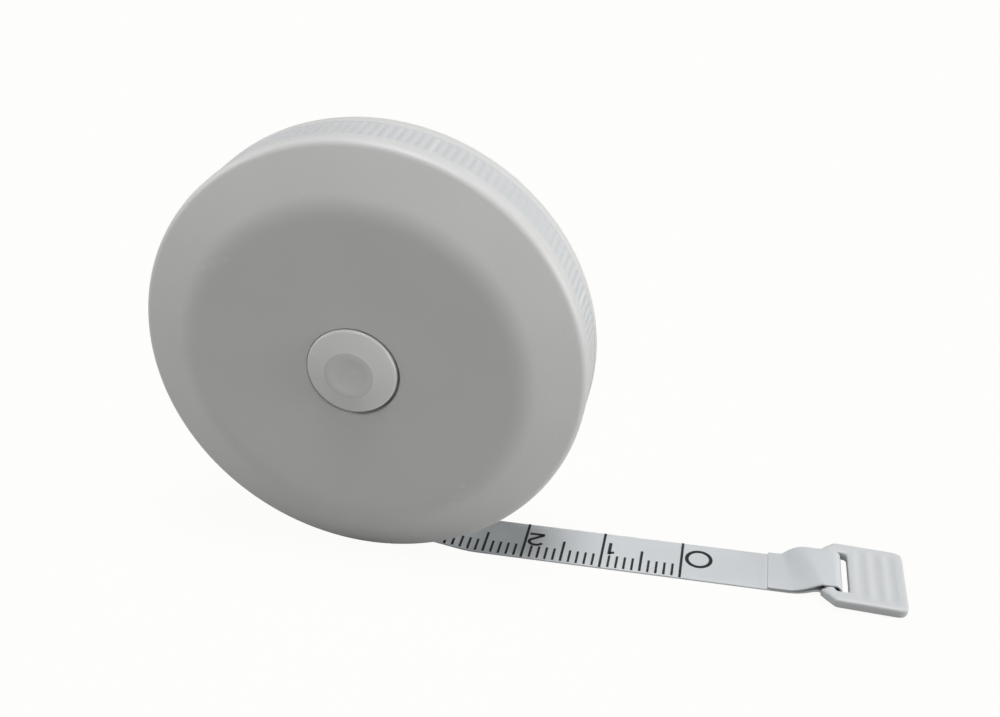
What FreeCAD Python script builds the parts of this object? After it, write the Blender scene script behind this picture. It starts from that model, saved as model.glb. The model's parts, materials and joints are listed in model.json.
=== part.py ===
import FreeCAD, Part

import math
import os

import Sketcher

# A pocket tape measure standing on its rim with its ribbon pulled out along +X.
# Y is the axis of the round case, and the button is on the -Y side.
# The origin is the centre of the flat rear face.
# Every profile is drawn about the middle of the case, and each body is then moved back by half the thickness.

SIZES = {
    # case
    "case_diameter": 54.0,
    "case_thickness": 14.4,
    "case_wall": 1.2,
    "flat_diameter": 37.4,
    "face_blend": 3.0,
    "face_drop": 2.5,
    "edge_round": 0.8,
    "inner_corner": 0.7,
    "collar_height": 0.12,
    "collar_width": 3.2,
    "rib_band_width": 4.4,
    "rib_count": 160,
    "rib_height": 0.18,
    "liner_thickness": 0.8,
    "liner_half_width": 4.0,
    "slot_side_gap": 0.15,
    "cover_edge": 1.0,
    "press_gap": 0.02,
    "slot_height": 1.2,
    "slot_inwards": 4.0,
    "slot_outwards": 9.0,
    # ribbon
    "tape_width": 7.0,
    "tape_thickness": 0.3,
    "tape_slope": 10.0,
    "tape_turns": 11,
    "tape_pitch": 0.32,
    "reel_margin": 2.4,
    "coil_margin": 0.33,
    "lead_end": 5.0,
    "floor_bend": 15.0,
    "strip_end": 50.0,
    # folded end and pull tab
    "loop_radius": 0.92,
    "loop_centre": 57.72,
    "loop_flat": 0.6,
    "loop_fall": 35.0,
    "fall_radius": 2.4,
    "bar_place": 57.3,
    "bar_height": 1.15,
    "bar_radius": 0.65,
    "bar_end": 1.2,
    "tab_length": 10.28,
    "tab_width": 11.3,
    "tab_thickness": 1.3,
    "tab_round": 1.2,
    "tab_chamfer": 1.8,
    "tab_edge": 0.5,
    "tab_tilt": 3.0,
    "window_end": 2.24,
    "window_width": 7.6,
    "ripple_border": 1.6,
    "ripple_count": 3,
    "ripple_width": 1.4,
    "ripple_depth": 0.2,
    # button and brake
    "button_diameter": 10.94,
    "button_gap": 0.23,
    "button_proud": 1.3,
    "button_wall": 1.4,
    "button_round": 1.0,
    "button_crown": 2.9,
    "dimple_radius": 2.4,
    "dimple_depth": 0.3,
    "skirt_inset": 0.4,
    "skirt_wall": 1.0,
    "flange_reach": 0.9,
    "flange_height": 0.7,
    "brake_ring_height": 0.3,
    "brake_height": 0.7,
    "brake_diameter": 18.0,
    "brake_ring_inset": 0.2,
    "pin_radius": 1.9,
    "pin_end": 2.0,
    "peg_radius": 0.45,
    # reel
    "flange_thickness": 0.4,
    "web_front": 3.0,
    "cap_hole": 7.2,
    "drum_wall": 1.0,
    "anchor_width": 3.0,
    "anchor_inset": 0.5,
    "anchor_gap": 0.1,
    "spring_cover_front": 0.4,
    "spring_cover_back": 0.02,
    "spring_cover_gap": 0.2,
    "washer_radius": 8.0,
    "washer_gap": 0.03,
    # spindle and springs
    "post_radius": 3.2,
    "post_bore": 2.2,
    "post_front": 3.6,
    "journal_radius": 4.0,
    "running_gap": 0.05,
    "sliding_gap": 0.1,
    "slit_width": 0.6,
    "slit_margin": 0.3,
    "key_radius": 3.8,
    "key_width": 1.2,
    "tail_radius": 3.0,
    "tail_depth": 0.7,
    "bore_end": 4.2,
    "mainspring_thickness": 0.25,
    "mainspring_pitch": 1.1,
    "mainspring_turns": 14,
    "mainspring_margin": 0.4,
    "mainspring_side_gap": 0.3,
    "button_spring_radius": 1.5,
    "button_spring_wire": 0.4,
    "button_spring_turns": 6,
}


def make_sheet(doc):
    sheet = doc.addObject("Spreadsheet::Sheet", "Sizes")
    for row, (name, value) in enumerate(SIZES.items(), start=1):
        sheet.set(f"A{row}", name)
        sheet.set(f"B{row}", str(value))
        sheet.setAlias(f"B{row}", name)
    doc.recompute()
    return sheet


doc = FreeCAD.newDocument("tape_measure")
sheet = make_sheet(doc)

# Expressions used by more than one profile, in case-centred coordinates.
CASE_RADIUS = "(Sizes.case_diameter / 2)"
FACE = "(Sizes.case_thickness / 2)"
FLAT_RADIUS = "(Sizes.flat_diameter / 2)"
INNER_FACE = "(Sizes.case_thickness / 2 - Sizes.case_wall)"
LINER_OUTER = f"({CASE_RADIUS} - Sizes.cover_edge)"
LINER_INNER = f"({CASE_RADIUS} - Sizes.cover_edge - Sizes.liner_thickness)"
HALF_BAND = "(Sizes.rib_band_width / 2)"
REEL_RADIUS = f"({CASE_RADIUS} - Sizes.reel_margin)"
COIL_RADIUS = f"({REEL_RADIUS} - Sizes.coil_margin)"
DRUM_OUTER = (
    f"({COIL_RADIUS} - Sizes.tape_turns * Sizes.tape_pitch - Sizes.tape_thickness / 2 - Sizes.running_gap)"
)
DRUM_INNER = f"({DRUM_OUTER} - Sizes.drum_wall)"
REEL_FACE = "(Sizes.tape_width / 2 + Sizes.running_gap)"
SLOT_WIDTH = "(Sizes.tape_width + 2 * Sizes.slot_side_gap)"
BRAKE_FRONT = f"({REEL_FACE} - Sizes.running_gap)"
BRAKE_RING_BACK = f"({BRAKE_FRONT} - Sizes.brake_ring_height)"
BRAKE_BACK = f"({BRAKE_RING_BACK} - Sizes.brake_height)"
BUTTON_HOLE = "(Sizes.button_diameter / 2 + Sizes.button_gap)"
SKIRT_OUTER = "(Sizes.button_diameter / 2 - Sizes.skirt_inset)"
SKIRT_INNER = f"({SKIRT_OUTER} - Sizes.skirt_wall)"
FLANGE_RADIUS = f"({BUTTON_HOLE} + Sizes.flange_reach)"
FLANGE_FRONT = f"({INNER_FACE} - Sizes.running_gap)"
FLANGE_BACK = f"({FLANGE_FRONT} - Sizes.flange_height)"
JOURNAL_BORE = "(Sizes.journal_radius + Sizes.running_gap)"
ANCHOR_HALF_LENGTH = "(Sizes.tape_width / 2 - Sizes.anchor_inset)"

# Where the middle of each arc lies, as shares of its reach along the two directions.
EDGE_BOW = (0.26, 0.36)
COLLAR_BOW = (0.44, 0.75)
CROWN_BOW = (0.46, 0.26)
DIMPLE_BOW = (0.7, 0.42)
DIMPLE_FLOOR = 0.3
ROUND_BOW = 0.29

# How far a cutting outline passes the wall that it cuts.
PAST = 0.5


def size(name):
    """A driving size, read from the sheet."""
    return float(sheet.get(name))


def measure(expression):
    """The value of an expression made from the driving sizes."""
    return float(sheet.evalExpression(expression))


def plane_of(body, role):
    return next(item for item in body.Origin.OriginFeatures if item.Role == role)


def new_body(label):
    body = doc.addObject("PartDesign::Body", label)
    body.Label = label
    body.setExpression("Placement.Base.y", "-Sizes.case_thickness / 2")
    return body


def new_sketch(body, name, role):
    sketch = body.newObject("Sketcher::SketchObject", f"{body.Name}_{name}")
    sketch.AttachmentSupport = [(plane_of(body, role), "")]
    sketch.MapMode = "FlatFace"
    return sketch


def value_of(sketch, expression):
    return float(sketch.evalExpression(expression))


def pin_point(sketch, geometry, position, corner):
    """Hold one point of a sketch at the place that two expressions give."""
    kinds = (("DistanceX", -2), ("DistanceY", -1))
    for (kind, axis), expression in zip(kinds, corner):
        if expression == "0":
            sketch.addConstraint(Sketcher.Constraint("PointOnObject", geometry, position, axis))
            continue
        distance = value_of(sketch, expression)
        number = sketch.addConstraint(Sketcher.Constraint(kind, -1, 1, geometry, position, distance))
        sketch.setExpression(f"Constraints[{number}]", expression)


def is_clockwise(start, via, end):
    return (via - start).cross(end - via).z < 0


def draw_outline(sketch, corners):
    """Closed outline. A corner is (x, y), or (x, y, via_x, via_y) where an arc arrives at it."""
    places = [FreeCAD.Vector(value_of(sketch, c[0]), value_of(sketch, c[1]), 0) for c in corners]
    first = len(sketch.Geometry)
    count = len(corners)
    ends = []
    vias = []
    for index in range(count):
        arrival = corners[(index + 1) % count]
        start = places[index]
        end = places[(index + 1) % count]
        ends.append((1, 2))
        if len(arrival) == 2:
            sketch.addGeometry(Part.LineSegment(start, end), False)
            continue
        via = FreeCAD.Vector(value_of(sketch, arrival[2]), value_of(sketch, arrival[3]), 0)
        vias.append((first + index, via, arrival[2:]))
        # Arcs are stored counter-clockwise, so a clockwise one is drawn from its end.
        if is_clockwise(start, via, end):
            ends[-1] = (2, 1)
            start, end = end, start
        sketch.addGeometry(Part.Arc(start, via, end), False)
    for index in range(count):
        after = (index + 1) % count
        here, there = ends[index][1], ends[after][0]
        sketch.addConstraint(Sketcher.Constraint("Coincident", first + index, here, first + after, there))
        pin_point(sketch, first + index, ends[index][0], corners[index][:2])
    for geometry, via, expressions in vias:
        point = sketch.addGeometry(Part.Point(via), True)
        pin_point(sketch, point, 1, expressions)
        sketch.addConstraint(Sketcher.Constraint("PointOnObject", point, 1, geometry))


def draw_circle(sketch, x, y, radius):
    centre = FreeCAD.Vector(value_of(sketch, x), value_of(sketch, y), 0)
    number = sketch.addGeometry(Part.Circle(centre, FreeCAD.Vector(0, 0, 1), value_of(sketch, radius)), False)
    pin_point(sketch, number, 3, (x, y))
    constraint = sketch.addConstraint(Sketcher.Constraint("Radius", number, value_of(sketch, radius)))
    sketch.setExpression(f"Constraints[{constraint}]", radius)


def box_outline(x_low, y_low, x_high, y_high):
    return [(x_low, y_low), (x_high, y_low), (x_high, y_high), (x_low, y_high)]


def turned(label, corners):
    """A round body about the Y axis. The outline's x is the radius."""
    body = new_body(label)
    sketch = new_sketch(body, "section", "XY_Plane")
    draw_outline(sketch, corners)
    feature = body.newObject("PartDesign::Revolution", f"{label}_turned")
    feature.Profile = sketch
    feature.ReferenceAxis = (sketch, ["V_Axis"])
    feature.Angle = 360
    doc.recompute()
    return body


def along_y(body, name, kind, sketch_filler, low, high):
    """A Pad or Pocket of a sketch in the XZ plane, between two places on the Y axis."""
    sketch = new_sketch(body, name, "XZ_Plane")
    sketch_filler(sketch)
    # The XZ plane faces -Y, so the sketch is lifted to the far end and the feature runs towards -Y.
    sketch.setExpression("AttachmentOffset.Base.z", f"-({high})")
    feature = body.newObject(f"PartDesign::{kind}", f"{body.Name}_{name}_{kind.lower()}")
    feature.Profile = sketch
    feature.setExpression("Length", f"({high}) - ({low})")
    feature.Reversed = kind == "Pocket"
    before = body.Shape.Volume
    doc.recompute()
    change = body.Shape.Volume - before
    if (change >= 0) == (kind == "Pocket"):
        raise RuntimeError(f"{body.Label}: {name} changed nothing")
    return feature


def patterned(body, feature, count):
    """The feature repeated round the Y axis."""
    pattern = body.newObject("PartDesign::PolarPattern", f"{feature.Name}_ring")
    pattern.Originals = [feature]
    pattern.Axis = (plane_of(body, "Y_Axis"), [""])
    pattern.Angle = 360
    pattern.Occurrences = count
    body.Tip = pattern
    doc.recompute()
    return pattern


# ---------------------------------------------------------------- ribbons and springs

def advance(pose, move, share=1.0):
    """The place and heading after a share of one move: ("go", length) or ("turn", radius, degrees)."""
    x, z, heading = pose
    if move[0] == "go":
        length = move[1] * share
        return x + length * math.cos(heading), z + length * math.sin(heading), heading
    radius, angle = move[1], math.radians(move[2]) * share
    side = 1 if move[2] > 0 else -1
    centre_x = x - math.sin(heading) * radius * side
    centre_z = z + math.cos(heading) * radius * side
    heading += angle
    return centre_x + math.sin(heading) * radius * side, centre_z - math.cos(heading) * radius * side, heading


def edge_point(pose, offset, y):
    x, z, heading = pose
    return FreeCAD.Vector(x - math.sin(heading) * offset, y, z + math.cos(heading) * offset)


def ribbon(start, moves, thickness, width, middle=0.0):
    """A strip of constant thickness along a path in the XZ plane, centred on y = middle."""
    y = middle - width / 2
    poses = [start]
    for move in moves:
        poses.append(advance(poses[-1], move))
    edges = []
    for offset in (thickness / 2, -thickness / 2):
        for pose, after, move in zip(poses, poses[1:], moves):
            begin, end = edge_point(pose, offset, y), edge_point(after, offset, y)
            if move[0] == "go":
                edges.append(Part.makeLine(begin, end))
                continue
            halfway = edge_point(advance(pose, move, 0.5), offset, y)
            edges.append(Part.Arc(begin, halfway, end).toShape())
    for pose in (poses[0], poses[-1]):
        edges.append(Part.makeLine(edge_point(pose, thickness / 2, y), edge_point(pose, -thickness / 2, y)))
    wire = Part.Wire(Part.__sortEdges__(edges))
    return Part.Face(wire).extrude(FreeCAD.Vector(0, width, 0))


def shape_object(label, shape, place_y="0"):
    """A document object that holds a shape that sketches can't describe."""
    item = doc.addObject("Part::Feature", label)
    item.Label = label
    item.Shape = shape
    item.setExpression("Placement.Base.y", f"{place_y} - Sizes.case_thickness / 2")
    return item


def slope():
    return math.radians(size("tape_slope"))


def coil_exit():
    """Where the ribbon leaves the coil, heading down the slope."""
    radius = measure(COIL_RADIUS)
    return -radius * math.sin(slope()), -radius * math.cos(slope()), -slope()


def mouth_pose():
    """Where the inner ribbon hands over to the outer one, inside the slot."""
    x, z, heading = coil_exit()
    length = (size("lead_end") - x) / math.cos(heading)
    return advance((x, z, heading), ("go", length))


def spiral_moves(outer_radius, pitch, turns):
    """Half turns that grow outwards and end at outer_radius."""
    count = int(round(turns * 2))
    radii = [outer_radius - step * pitch / 2 for step in range(count)]
    return [("turn", radius, 180.0) for radius in reversed(radii)]


def make_tape_coil():
    moves = spiral_moves(measure(COIL_RADIUS), size("tape_pitch"), size("tape_turns"))
    x, z, heading = coil_exit()
    inset = size("tape_pitch") * size("tape_turns")
    shrink = 1 - inset / measure(COIL_RADIUS)
    start = (x * shrink, z * shrink, heading)
    return shape_object("tape_coil", ribbon(start, moves, size("tape_thickness"), size("tape_width")))


def make_tape_lead():
    x, z, heading = coil_exit()
    length = (size("lead_end") - x) / math.cos(heading)
    solid = ribbon((x, z, heading), [("go", length)], size("tape_thickness"), size("tape_width"))
    return shape_object("tape_lead", solid)


def make_tape_strip():
    """The ribbon outside: down the slope, a gentle bend, then flat on the table."""
    x, z, heading = mouth_pose()
    table = -size("case_diameter") / 2 + size("tape_thickness") / 2
    tangent = size("floor_bend") * math.tan(slope() / 2)
    fall = (z - table) / math.sin(slope())
    bend = ("turn", size("floor_bend"), size("tape_slope"))
    corner_x = x + fall * math.cos(slope())
    flat = size("strip_end") - corner_x - tangent
    moves = [("go", fall - tangent), bend, ("go", flat)]
    solid = ribbon((x, z, heading), moves, size("tape_thickness"), size("tape_width"))
    return shape_object("tape_strip", solid)


def make_tape_fold():
    """The free end: round the bar of the tab and back, welded on top of itself."""
    thickness = size("tape_thickness")
    low = -size("case_diameter") / 2 + thickness / 2
    radius = size("loop_radius")
    fall, fall_radius = size("loop_fall"), size("fall_radius")
    sink, run = 1 - math.cos(math.radians(fall)), math.sin(math.radians(fall))
    drop = 2 * radius - thickness - 2 * fall_radius * sink
    start = (size("strip_end"), low, 0.0)
    moves = [
        ("go", size("loop_centre") - size("strip_end")),
        ("turn", radius, 180.0),
        ("go", size("loop_flat")),
        ("turn", fall_radius, fall),
        ("go", drop / run),
        ("turn", fall_radius, -fall),
    ]
    loop = ribbon(start, moves, thickness, size("tape_width"))
    pose = start
    for move in moves:
        pose = advance(pose, move)
    lap = pose[0] - size("strip_end")
    upper = Part.makeBox(lap, size("tape_width"), thickness)
    upper.translate(FreeCAD.Vector(size("strip_end"), -size("tape_width") / 2, low + thickness / 2))
    bead = Part.makeBox(2 * thickness, size("tape_width"), thickness / 2)
    bead.translate(FreeCAD.Vector(pose[0] - thickness / 4, -size("tape_width") / 2, low + thickness * 0.35))
    return shape_object("tape_fold", loop.fuse([upper, bead]).removeSplitter())


def make_mainspring():
    outer = measure(DRUM_INNER) - size("mainspring_margin") - size("mainspring_thickness") / 2
    pitch, turns = size("mainspring_pitch"), size("mainspring_turns")
    width = size("web_front") - size("mainspring_side_gap")
    start = (0.0, -(outer - pitch * turns), 0.0)
    moves = spiral_moves(outer, pitch, turns)
    solid = ribbon(start, moves, size("mainspring_thickness"), width, size("web_front") / 2)
    return shape_object("mainspring", solid)


def make_button_spring():
    """A small open coil in the bore of the post."""
    wire = size("button_spring_wire")
    height = size("bore_end") + size("pin_end") - wire - 2 * size("running_gap")
    helix = Part.makeHelix(height / size("button_spring_turns"), height, size("button_spring_radius"))
    start = FreeCAD.Vector(size("button_spring_radius"), 0, 0)
    section = Part.Circle(start, FreeCAD.Vector(0, 1, 0), wire / 2).toShape()
    solid = Part.Wire(helix).makePipeShell([Part.Wire(section)], True, True)
    solid.rotate(FreeCAD.Vector(0, 0, 0), FreeCAD.Vector(1, 0, 0), -90)
    place = "Sizes.running_gap + Sizes.button_spring_wire / 2 - Sizes.pin_end"
    return shape_object("button_spring", solid, place)


# ---------------------------------------------------------------- case

def face_outline(side, inner_corners):
    """Section of one cover: outside from the middle out to the seam, then back along the inside."""
    run = f"({CASE_RADIUS} - Sizes.edge_round - {FLAT_RADIUS} - Sizes.face_blend)"
    grade = f"(Sizes.face_drop / (Sizes.face_blend / 2 + {run}))"
    cone_start = f"{FLAT_RADIUS} + Sizes.face_blend"
    edge = f"{CASE_RADIUS} - Sizes.edge_round"
    corners = [
        (FLAT_RADIUS, f"{side}*{FACE}"),
        (
            cone_start,
            f"{side}*({FACE} - {grade} * Sizes.face_blend / 2)",
            f"{FLAT_RADIUS} + Sizes.face_blend / 2",
            f"{side}*({FACE} - {grade} * Sizes.face_blend / 8)",
        ),
        (edge, f"{side}*({FACE} - Sizes.face_drop)"),
        (
            CASE_RADIUS,
            f"{side}*({FACE} - Sizes.face_drop - Sizes.edge_round)",
            f"{CASE_RADIUS} - Sizes.edge_round * {EDGE_BOW[0]}",
            f"{side}*({FACE} - Sizes.face_drop - Sizes.edge_round * {EDGE_BOW[1]})",
        ),
        (CASE_RADIUS, f"{side}*{HALF_BAND}"),
        (LINER_OUTER, f"{side}*{HALF_BAND}"),
        (LINER_OUTER, f"{side}*Sizes.liner_half_width"),
        (LINER_INNER, f"{side}*Sizes.liner_half_width"),
        (f"{FLAT_RADIUS} + Sizes.inner_corner", f"{side}*{INNER_FACE}"),
    ]
    return inner_corners + corners


def cut_slot(body):
    """The slanted slot that the ribbon leaves by."""
    x, z, _ = mouth_pose()
    corners = []
    inwards, outwards = "-Sizes.slot_inwards", "Sizes.slot_outwards"
    for along, side in ((inwards, "-"), (outwards, "-"), (outwards, "+"), (inwards, "+")):
        across = f"{side} Sizes.slot_height / 2"
        slot_x = f"{x} + {along} * cos(Sizes.tape_slope) {across} * sin(Sizes.tape_slope)"
        slot_z = f"{z} - {along} * sin(Sizes.tape_slope) {across} * cos(Sizes.tape_slope)"
        corners.append((slot_x, slot_z))
    half_width = f"{SLOT_WIDTH} / 2"
    span = (f"-{half_width}", half_width)
    along_y(body, "slot", "Pocket", lambda sketch: draw_outline(sketch, corners), *span)


def make_front_cover():
    """The button side, with a faint collar round the hole."""
    hole = BUTTON_HOLE
    middle = [
        (hole, f"-{INNER_FACE}"),
        (hole, f"-({FACE} + Sizes.collar_height)"),
        (
            f"{hole} + Sizes.collar_width",
            f"-{FACE}",
            f"{hole} + Sizes.collar_width * {COLLAR_BOW[0]}",
            f"-({FACE} + Sizes.collar_height * {COLLAR_BOW[1]})",
        ),
    ]
    body = turned("front_cover", face_outline(-1, middle))
    cut_slot(body)
    return body


def make_rear_cover():
    """The closed side, with a blind hole for the tail of the spindle."""
    floor = f"{INNER_FACE} + Sizes.tail_depth"
    middle = [
        ("Sizes.tail_radius", INNER_FACE),
        ("Sizes.tail_radius", floor),
        ("0", floor),
        ("0", FACE),
    ]
    body = turned("rear_cover", face_outline(1, middle))
    cut_slot(body)
    return body


def make_rim_band():
    """The ribbed ring between the covers, on a wider liner that both covers press over."""
    outer = size("case_diameter") / 2
    liner_outer = outer - size("cover_edge") - size("press_gap")
    liner_inner = outer - size("cover_edge") - size("liner_thickness")
    count = int(size("rib_count"))
    points = []
    for step in range(2 * count):
        angle = math.pi * step / count
        radius = outer - (step % 2) * size("rib_height")
        points.append(FreeCAD.Vector(radius * math.cos(angle), 0, radius * math.sin(angle)))
    width = size("rib_band_width")
    ribs = Part.Face(Part.makePolygon(points + points[:1])).extrude(FreeCAD.Vector(0, width, 0))
    ribs.translate(FreeCAD.Vector(0, -width / 2, 0))
    half = size("liner_half_width")
    start, axis = FreeCAD.Vector(0, -half, 0), FreeCAD.Vector(0, 1, 0)
    ring = ribs.fuse(Part.makeCylinder(liner_outer, 2 * half, start, axis))
    ring = ring.cut(Part.makeCylinder(liner_inner, 2 * half, start, axis))
    x, z, heading = mouth_pose()
    start = advance((x, z, heading), ("go", -size("slot_inwards")))
    length = size("slot_inwards") + size("slot_outwards")
    slot = ribbon(start, [("go", length)], size("slot_height"), measure(SLOT_WIDTH))
    return shape_object("rim_band", ring.cut(slot))


def make_spindle():
    """The fixed hollow post: journal for the reel, keys for the brake, bore for the button spring."""
    tail = f"{INNER_FACE} + Sizes.tail_depth"
    journal = "Sizes.web_front - Sizes.sliding_gap"
    corners = [
        ("0", "Sizes.bore_end"),
        ("Sizes.post_bore", "Sizes.bore_end"),
        ("Sizes.post_bore", "-Sizes.post_front"),
        ("Sizes.post_radius", "-Sizes.post_front"),
        ("Sizes.post_radius", journal),
        ("Sizes.journal_radius", journal),
        ("Sizes.journal_radius", INNER_FACE),
        ("Sizes.tail_radius", INNER_FACE),
        ("Sizes.tail_radius", tail),
        ("0", tail),
    ]
    body = turned("spindle", corners)
    half_key = "Sizes.key_width / 2"
    key = box_outline(f"Sizes.post_bore + {PAST}", f"-{half_key}", "Sizes.key_radius", half_key)
    pad = along_y(body, "key", "Pad", lambda sketch: draw_outline(sketch, key), "-Sizes.post_front", "0.0")
    patterned(body, pad, 2)
    half_slit = "Sizes.slit_width / 2"
    slit = box_outline(f"Sizes.post_bore - {PAST}", f"-{half_slit}", f"Sizes.post_radius + {PAST}", half_slit)
    span = ("Sizes.slit_margin", "Sizes.web_front - Sizes.slit_margin")
    along_y(body, "slit", "Pocket", lambda sketch: draw_outline(sketch, slit), *span)
    return body


# ---------------------------------------------------------------- reel

def make_reel():
    """Drum and rear flange in one piece, running on the spindle's journal."""
    back = f"{REEL_FACE} + Sizes.flange_thickness"
    corners = [
        (JOURNAL_BORE, "Sizes.web_front"),
        (DRUM_INNER, "Sizes.web_front"),
        (DRUM_INNER, f"-{REEL_FACE}"),
        (DRUM_OUTER, f"-{REEL_FACE}"),
        (DRUM_OUTER, REEL_FACE),
        (REEL_RADIUS, REEL_FACE),
        (REEL_RADIUS, back),
        (JOURNAL_BORE, back),
    ]
    body = turned("reel", corners)
    half = "Sizes.anchor_width / 2"
    notch = box_outline(f"{DRUM_INNER} - {PAST}", f"-{half}", f"{DRUM_OUTER} + {PAST}", half)
    span = (f"-{ANCHOR_HALF_LENGTH}", ANCHOR_HALF_LENGTH)
    along_y(body, "notch", "Pocket", lambda sketch: draw_outline(sketch, notch), *span)
    return body


def make_tape_anchor():
    """The peg that holds the inner end of the ribbon in the drum wall."""
    half = "Sizes.anchor_width / 2"
    inner, outer = f"{DRUM_INNER} + Sizes.anchor_gap", f"{DRUM_OUTER} - Sizes.anchor_gap"
    flat = box_outline(inner, f"-{half}", outer, half)
    body = new_body("tape_anchor")
    sketch = new_sketch(body, "section", "XZ_Plane")
    draw_outline(sketch, flat)
    pad = body.newObject("PartDesign::Pad", "tape_anchor_pad")
    pad.Profile = sketch
    pad.setExpression("Length", f"2 * {ANCHOR_HALF_LENGTH}")
    pad.Midplane = True
    doc.recompute()
    return body


def make_reel_cap():
    """The front flange, which the brake presses on from inside."""
    front = f"-({REEL_FACE} + Sizes.flange_thickness)"
    return turned("reel_cap", box_outline("Sizes.cap_hole", front, REEL_RADIUS, f"-{REEL_FACE}"))


def make_spring_cover():
    """Disc pressed in the drum over the mainspring."""
    hole = "Sizes.key_radius + Sizes.spring_cover_gap"
    corners = box_outline(hole, "-Sizes.spring_cover_front", DRUM_INNER, "-Sizes.spring_cover_back")
    return turned("spring_cover", corners)


def make_reel_washer():
    """Low-friction washer that fills the room between the reel and the rear wall."""
    start = f"{REEL_FACE} + Sizes.flange_thickness + Sizes.washer_gap"
    end = f"{INNER_FACE} - Sizes.washer_gap"
    bore = "Sizes.journal_radius + 2 * Sizes.sliding_gap"
    return turned("reel_washer", box_outline(bore, start, "Sizes.washer_radius", end))


# ---------------------------------------------------------------- button and brake

def make_push_button():
    """A hollow button: dished top, retaining flange, skirt to the brake and a pin on the spring."""
    radius = "Sizes.button_diameter / 2"
    top = f"({FACE} + Sizes.button_proud)"
    roof = f"-({top} - Sizes.button_wall)"
    flange = FLANGE_RADIUS
    corners = [
        ("0", f"-({top} - Sizes.dimple_depth)"),
        (f"Sizes.dimple_radius * {DIMPLE_FLOOR}", f"-({top} - Sizes.dimple_depth)"),
        (
            "Sizes.dimple_radius",
            f"-{top}",
            f"Sizes.dimple_radius * {DIMPLE_BOW[0]}",
            f"-({top} - Sizes.dimple_depth * {DIMPLE_BOW[1]})",
        ),
        (f"{radius} - Sizes.button_crown", f"-{top}"),
        (
            radius,
            f"-({top} - Sizes.button_round)",
            f"{radius} - Sizes.button_crown * {CROWN_BOW[0]}",
            f"-({top} - Sizes.button_round * {CROWN_BOW[1]})",
        ),
        (radius, f"-{FLANGE_FRONT}"),
        (flange, f"-{FLANGE_FRONT}"),
        (flange, f"-{FLANGE_BACK}"),
        (SKIRT_OUTER, f"-{FLANGE_BACK}"),
        (SKIRT_OUTER, f"-{BRAKE_RING_BACK}"),
        (SKIRT_INNER, f"-{BRAKE_RING_BACK}"),
        (SKIRT_INNER, roof),
        ("Sizes.pin_radius", roof),
        ("Sizes.pin_radius", "-Sizes.pin_end"),
        ("0", "-Sizes.pin_end"),
    ]
    body = turned("push_button", corners)
    middle = f"({SKIRT_INNER} + {SKIRT_OUTER}) / 2"
    peg = along_y(
        body,
        "peg",
        "Pad",
        lambda sketch: draw_circle(sketch, "0", middle, "Sizes.peg_radius"),
        f"-{BRAKE_RING_BACK} - {PAST}",
        f"-{BRAKE_BACK}",
    )
    patterned(body, peg, 3)
    return body


def make_brake_disc():
    """Slides on the spindle's keys, so it can't turn, and is held to the button by three pegs."""
    hole = "Sizes.post_radius + Sizes.sliding_gap"
    corners = box_outline(hole, f"-{BRAKE_RING_BACK}", "Sizes.brake_diameter / 2", f"-{BRAKE_BACK}")
    body = turned("brake_disc", corners)
    half = "Sizes.key_width / 2 + Sizes.sliding_gap"
    key = box_outline("Sizes.post_bore", f"-({half})", "Sizes.key_radius + Sizes.sliding_gap", half)
    span = (f"-{BRAKE_RING_BACK} - {PAST}", f"-{BRAKE_BACK} + {PAST}")
    slot = along_y(body, "keyway", "Pocket", lambda sketch: draw_outline(sketch, key), *span)
    patterned(body, slot, 2)
    middle = f"({SKIRT_INNER} + {SKIRT_OUTER}) / 2"
    hole_feature = along_y(
        body,
        "peg_hole",
        "Pocket",
        lambda sketch: draw_circle(sketch, "0", middle, "Sizes.peg_radius"),
        *span,
    )
    patterned(body, hole_feature, 3)
    return body


def make_brake_ring():
    """Rubber ring on the brake disc, just clear of the reel cap."""
    inner = "Sizes.cap_hole + Sizes.brake_ring_inset"
    outer = "Sizes.brake_diameter / 2 - Sizes.brake_ring_inset"
    return turned("brake_ring", box_outline(inner, f"-{BRAKE_FRONT}", outer, f"-{BRAKE_RING_BACK}"))


# ---------------------------------------------------------------- pull tab

def tab_plan():
    """Outline of the tab from above, with the bar's axis on x = 0 and slanted corners at the bar."""
    low = "-Sizes.bar_end"
    high = "(Sizes.tab_length - Sizes.bar_end)"
    half = "(Sizes.tab_width / 2)"
    bend = "Sizes.tab_round"
    near = f"Sizes.tab_round * {ROUND_BOW}"
    slant = "Sizes.tab_chamfer"
    return [
        (f"{low} + {slant}", f"-{half}"),
        (f"{high} - {bend}", f"-{half}"),
        (high, f"-{half} + {bend}", f"{high} - {near}", f"-{half} + {near}"),
        (high, f"{half} - {bend}"),
        (f"{high} - {bend}", half, f"{high} - {near}", f"{half} - {near}"),
        (f"{low} + {slant}", half),
        (low, f"{half} - {slant}"),
        (low, f"-{half} + {slant}"),
    ]


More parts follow.
